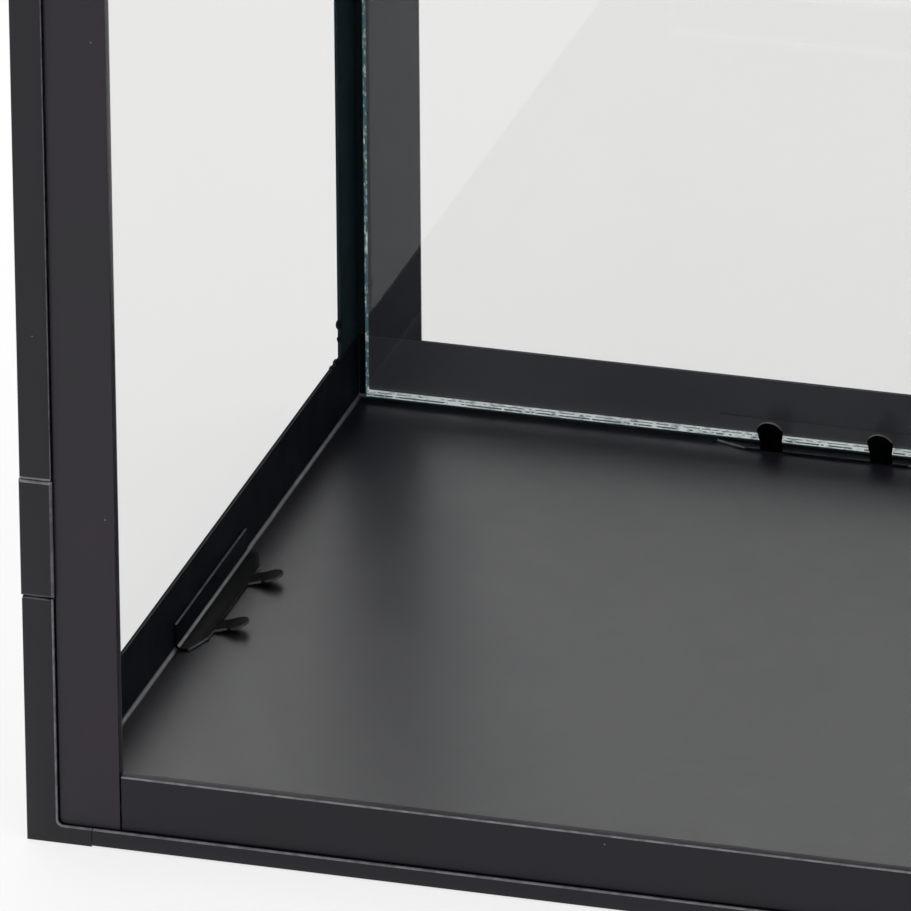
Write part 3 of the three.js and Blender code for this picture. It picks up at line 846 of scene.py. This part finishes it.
def pan(node, inside_level, outside_level):
    """inside_level and outside_level are the heights of the sheet's two faces by the folds."""
    piece = trace_of(node, "folded_" + node)
    work_on(piece)
    low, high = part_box(node)
    inner, outer = (inside_level, SHEET, PAN_FOLD), (outside_level, 0.0, PAN_FOLD + SHEET)
    for level, inset, radius in (inner, outer):
        select_edges(
            piece,
            lambda p: near(p.z, level) and near(p.x, low.x + inset),
            lambda p: near(p.z, level) and near(p.x, high.x - inset),
            lambda p: near(p.z, level) and near(p.y, high.y - inset),
        )
        bpy.ops.mesh.bevel(offset=radius, segments=6, affect="EDGES")
    bpy.ops.mesh.select_all(action="SELECT")
    bpy.ops.mesh.bisect(plane_co=(glass_low.x, 0, 0), plane_no=(1, 0, 0))
    bpy.ops.object.mode_set(mode="OBJECT")

    # The slanted faces of the inner fold get a painted highlight.
    def fold_highlight(centre, normal):
        slanted = max(abs(c) for c in normal) < NEARLY_SQUARE
        return PAN_FOLD_HIGHLIGHT if slanted and abs(centre.z - inside_level) < 1.5 * PAN_FOLD else 0.0

    round_edges(piece, 0.06 * MM, segments=1, sharper_than=50)
    set_painted_highlights(piece, fold_highlight)
    return piece


floor_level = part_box("base_pan")[0].z
roof_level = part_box("roof_pan")[1].z
base_pan = pan("base_pan", floor_level + SHEET, floor_level)
# The pan's walls take the darker inside copy, painted shade, except where the rear wall is seen through
# the back pane, which takes a paler copy, painted light. The floor's copy is paler too, painted light.
paint_faces(base_pan, (SHADED_INSIDE_COAT, lambda c, n: abs(n.x) > 0.9 or (n.z > 0.9 and c.z > 10 * MM)),
            (SHADED_INSIDE_COAT, lambda c, n: n.y < -0.9 and c.y > 0 and c.x < glass_low.x),
            (LIT_REAR_COAT, lambda c, n: n.y < -0.9 and c.y > 0), (FLOOR_COAT, always))
belongs(base_pan, "steel", "housing", "base_pan")
roof_pan = pan("roof_pan", roof_level - SHEET, roof_level)
paint_faces(roof_pan, (FRAME_COAT, always))
belongs(roof_pan, "steel", "housing", "roof_pan")
print("pans:", len(base_pan.data.polygons), "and", len(roof_pan.data.polygons), "faces")

# %% [markdown]
# A pane starts as a cube at its own size. Insetting its front and back with a little depth leaves
# a narrow slanted band all round, which is what a grinding wheel leaves on a cut sheet. The band
# along the bottom and the top is then drawn out to four times the width, as on the long edges.

# %% Panes
GRIND_WIDE = 0.45 * MM
GRIND_DEEP = 0.3 * MM
LONG_EDGE_EXTRA = 1.3 * MM


def pane(node, thickness_axis, glass):
    low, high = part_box(node)
    size = high - low
    size[thickness_axis] -= 2 * GRIND_DEEP
    deselect()
    bpy.ops.mesh.primitive_cube_add(size=1, location=(low + high) / 2, scale=size)
    piece = bpy.context.object
    piece.name = "glass_" + node
    bpy.ops.object.transform_apply(location=True, rotation=True, scale=True)
    for polygon in piece.data.polygons:
        polygon.select = abs(polygon.normal[thickness_axis]) > 0.9
    bpy.context.tool_settings.mesh_select_mode = (False, False, True)
    bpy.ops.object.mode_set(mode="EDIT")
    bpy.ops.mesh.inset(thickness=GRIND_WIDE, depth=GRIND_DEEP)
    for level, move in ((low.z + GRIND_WIDE, LONG_EDGE_EXTRA), (high.z - GRIND_WIDE, -LONG_EDGE_EXTRA)):
        select_edges(piece, lambda p: near(p.z, level))
        bpy.ops.transform.translate(value=(0, 0, move))
    bpy.ops.object.mode_set(mode="OBJECT")
    across = piece.data.attributes.new("across", "FLOAT", "POINT")
    for point in piece.data.vertices:
        on_rim = near(point.co.z, low.z) or near(point.co.z, high.z)
        across.data[point.index].value = 0.0 if on_rim else 1.0
    long_edge = piece.data.attributes.new("long_edge", "FLOAT", "FACE")
    for polygon in piece.data.polygons:
        long_edge.data[polygon.index].value = 1.0 if abs(polygon.normal.z) > 0.05 else 0.0
    piece.data.materials.append(glass)
    piece.data.materials.append(GROUND_EDGE)
    for polygon in piece.data.polygons:
        broad = abs(polygon.normal[thickness_axis]) > 0.999
        polygon.material_index = 0 if broad else 1
    belongs(piece, "glass", body_of[node], node)
    return piece


panes = [
    pane("rear_pane", 1, PANE_GLASS),
    pane("right_pane", 0, DOOR_GLASS),
    pane("door_pane", 1, DOOR_GLASS),
]
print("panes:", [len(p.data.polygons) for p in panes])

# %% [markdown]
# A pane clip is thin spring steel folded to an L, with two round-headed tabs. Its back takes the
# copy of the coat of the wall it stands against: painted light on the rear wall, painted shade on
# the others. Its shelf is nearly as glossy as the floor but darker, painted shade, and its own fold
# takes the floor's copy and carries the pan's pale painted highlight on. The tabs have a nearly
# black coat. The fold has to clear the fold of the pan behind it, so both its faces are rounded.
# The edges of the shelf, the top of the back on the left, the crowns of the upright tabs and the
# sides of the open ones carry thin lines of painted highlight. On the left side, where no pane
# stands, the tabs lie open.

# %% Clips
CLIP_SHEET = 0.6 * MM
CLIP_SHELF = 6.1 * MM
CLIP_EDGE = 0.27 * MM
OUTER_FOLD = 1.4 * MM
INNER_FOLD = 0.8 * MM
BACK_TOP = 5.8 * MM
TAB_CROWN = 5.2 * MM
FOLD_HIGHLIGHT = 0.8
EDGE_LINE_HIGHLIGHT = 1.0
TAB_RIM_HIGHLIGHT = 0.9
OPEN_TAB_HIGHLIGHT = 0.5
BROAD_AREA = 8 * MM * MM
TAB_RISE = 0.8 * MM
clip_walls = {"left": (0, -1), "right": (0, 1), "rear": (1, 1), "door": (1, -1)}


def clip(wall, level):
    node = f"{wall}_{level}_clip"
    piece = trace_of(node, "spring_" + node)
    work_on(piece)
    low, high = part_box(node)
    axis, side = clip_walls[wall]
    along = 1 - axis
    up = 1 if level == "bottom" else -1
    wall_at = high[axis] if side > 0 else low[axis]

    def from_wall(p):
        return side * (wall_at - p[axis])

    back_levels = [p.co.z for p in piece.data.vertices if near(from_wall(p.co), 0)]
    floor_at = min(back_levels) if up > 0 else max(back_levels)

    def from_floor(p):
        return up * (p.z - floor_at)

    for depth, radius in ((0.0, OUTER_FOLD), (CLIP_SHEET, INNER_FOLD)):
        select_edges(piece, lambda p: near(from_wall(p), depth) and near(from_floor(p), depth))
        bpy.ops.mesh.bevel(offset=radius, segments=5, affect="EDGES")
    bpy.ops.object.mode_set(mode="OBJECT")
    if wall != "left" and wall != "door":
        stretch(piece, lambda p: from_floor(p) > 4.0 * MM and from_wall(p) > 4.0 * MM,
                Vector((0, 0, up * TAB_RISE)))

    def is_tab(p):
        return from_wall(p) > CLIP_SHELF - 0.3 * MM and from_floor(p) > CLIP_SHEET + 0.15 * MM

    def in_fold(centre, normal):
        slanted = max(abs(c) for c in normal) < NEARLY_SQUARE and abs(normal[along]) < 0.05
        return slanted and max(from_wall(centre), from_floor(centre)) < OUTER_FOLD + 0.1 * MM

    # The pale lines set here are painted highlights: along the fold, on the tabs, on the top of the
    # back on the left, and along the shelf's edges.
    def clip_highlight(centre, normal):
        if in_fold(centre, normal):
            return FOLD_HIGHLIGHT
        if is_tab(centre) and wall != "left":
            return TAB_RIM_HIGHLIGHT if up * normal.z > 0.25 and from_floor(centre) > TAB_CROWN else 0.0
        if is_tab(centre):
            return OPEN_TAB_HIGHLIGHT if abs(normal.z) < 0.9 and from_floor(centre) > 1.5 * MM else 0.0
        if from_floor(centre) > BACK_TOP:
            return EDGE_LINE_HIGHLIGHT if wall == "left" and up * normal.z > 0.1 else 0.0
        rim = from_wall(centre) > 3.0 * MM and -0.1 < up * normal.z < NEARLY_SQUARE
        return EDGE_LINE_HIGHLIGHT if rim else 0.0

    round_edges(piece, CLIP_EDGE, segments=2, sharper_than=30)
    mark = piece.data.attributes["painted_highlight"]
    for polygon in piece.data.polygons:
        square = max(abs(c) for c in polygon.normal) > NEARLY_SQUARE
        broad = square and polygon.area > BROAD_AREA and from_floor(polygon.center) < BACK_TOP
        mark.data[polygon.index].value = 0.0 if broad else clip_highlight(polygon.center, polygon.normal)
    # The back takes its wall's copy, painted light on the rear wall and painted shade on the others;
    # the fold takes the floor's copy, and the shelf a darker one, painted shade.
    back_coat = LIT_REAR_COAT if wall == "rear" else SHADED_INSIDE_COAT
    tab_coat = CLIP_COAT if wall == "left" else TAB_COAT
    paint_faces(piece, (tab_coat, lambda c, n: is_tab(c)), (FLOOR_COAT, in_fold),
                (back_coat, lambda c, n: abs(n[axis]) > 0.5 and from_wall(c) < 2.0 * MM),
                (SHADED_SHELF_COAT, always))
    belongs(piece, "clip", body_of[node], node)
    return piece


clips = [clip(wall, level) for wall in clip_walls for level in ("bottom", "top")]
print("clips:", len(clips))

# %% [markdown]
# What is left is turned, bent or punched metal: the vent's collar, legs and cap, the bail handle
# and its lugs, the knob, and the small bare hardware. Their solids already have the right shapes,
# so a copy of each is enough, with its sharp edges broken as a file or a tumbler leaves them and
# given a faint painted highlight.

# %% Vent, handle, knob and hardware
hardware = {
    "vent_collar": (FRAME_COAT, "steel", 0.25), "vent_cap": (FRAME_COAT, "steel", 0.3),
    "bail_handle": (FRAME_COAT, "steel", 0.3), "door_knob": (FRAME_COAT, "steel", 0.25),
    "left_handle_lug": (FRAME_COAT, "steel", 0.25), "right_handle_lug": (FRAME_COAT, "steel", 0.25),
    "left_end_nut": (PLAIN_STEEL, "bright", 0.25), "right_end_nut": (PLAIN_STEEL, "bright", 0.25),
    "lower_hinge_pin": (PLAIN_STEEL, "bright", 0.15), "upper_hinge_pin": (PLAIN_STEEL, "bright", 0.15),
    "knob_screw": (PLAIN_STEEL, "bright", 0.15), "strike_plate": (PLAIN_STEEL, "bright", 0.15),
    "magnet_catch": (FERRITE, "magnet", 0.3),
}
hardware.update({f"vent_leg_{i}": (FRAME_COAT, "steel", 0.25) for i in range(1, 5)})
for node, (material, slot, radius) in hardware.items():
    piece = trace_of(node, "made_" + node)
    # The rounded edges get a faint painted highlight.
    round_edges(piece, radius * MM, evenly(0.12))
    paint_faces(piece, (material, always))
    belongs(piece, slot, body_of[node], node)
print("hardware:", len(hardware))
